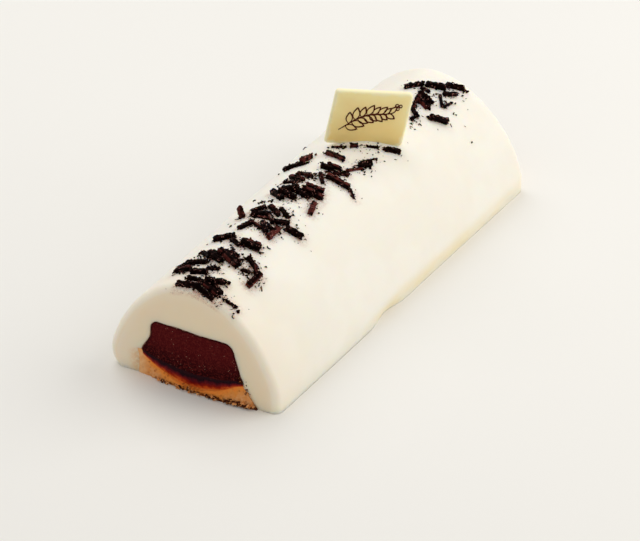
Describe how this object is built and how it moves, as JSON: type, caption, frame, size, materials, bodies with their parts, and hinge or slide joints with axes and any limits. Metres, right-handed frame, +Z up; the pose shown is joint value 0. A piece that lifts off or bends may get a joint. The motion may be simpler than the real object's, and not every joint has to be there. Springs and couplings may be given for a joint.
{
  "type": "ice cream log cake",
  "caption": "Arched white ice cream log with a chocolate core, sauce band and sponge base, dark chocolate batons along the ridge and an upright plaque.",
  "frame": {"origin": "on the floor, under the middle of the log", "axes": "+Y runs along the log, from the cut face seen in front to the far end; +X across it; +Z up"},
  "size_m": [0.0998, 0.2464, 0.085],
  "materials": {
    "white_ice_cream": "soft frozen surface with fused dark batons",
    "chocolate_insert": "fine crumb, slightly moist",
    "chocolate_sauce": "wet",
    "sponge_base": "soaked open crumb",
    "plaque": "satin white chocolate"
  },
  "bodies": {
    "root": {"white_ice_cream": "white_ice_cream", "chocolate_insert": "chocolate_insert", "chocolate_sauce": "chocolate_sauce", "sponge_base": "sponge_base", "plaque": "plaque"}
  },
  "joints": []
}
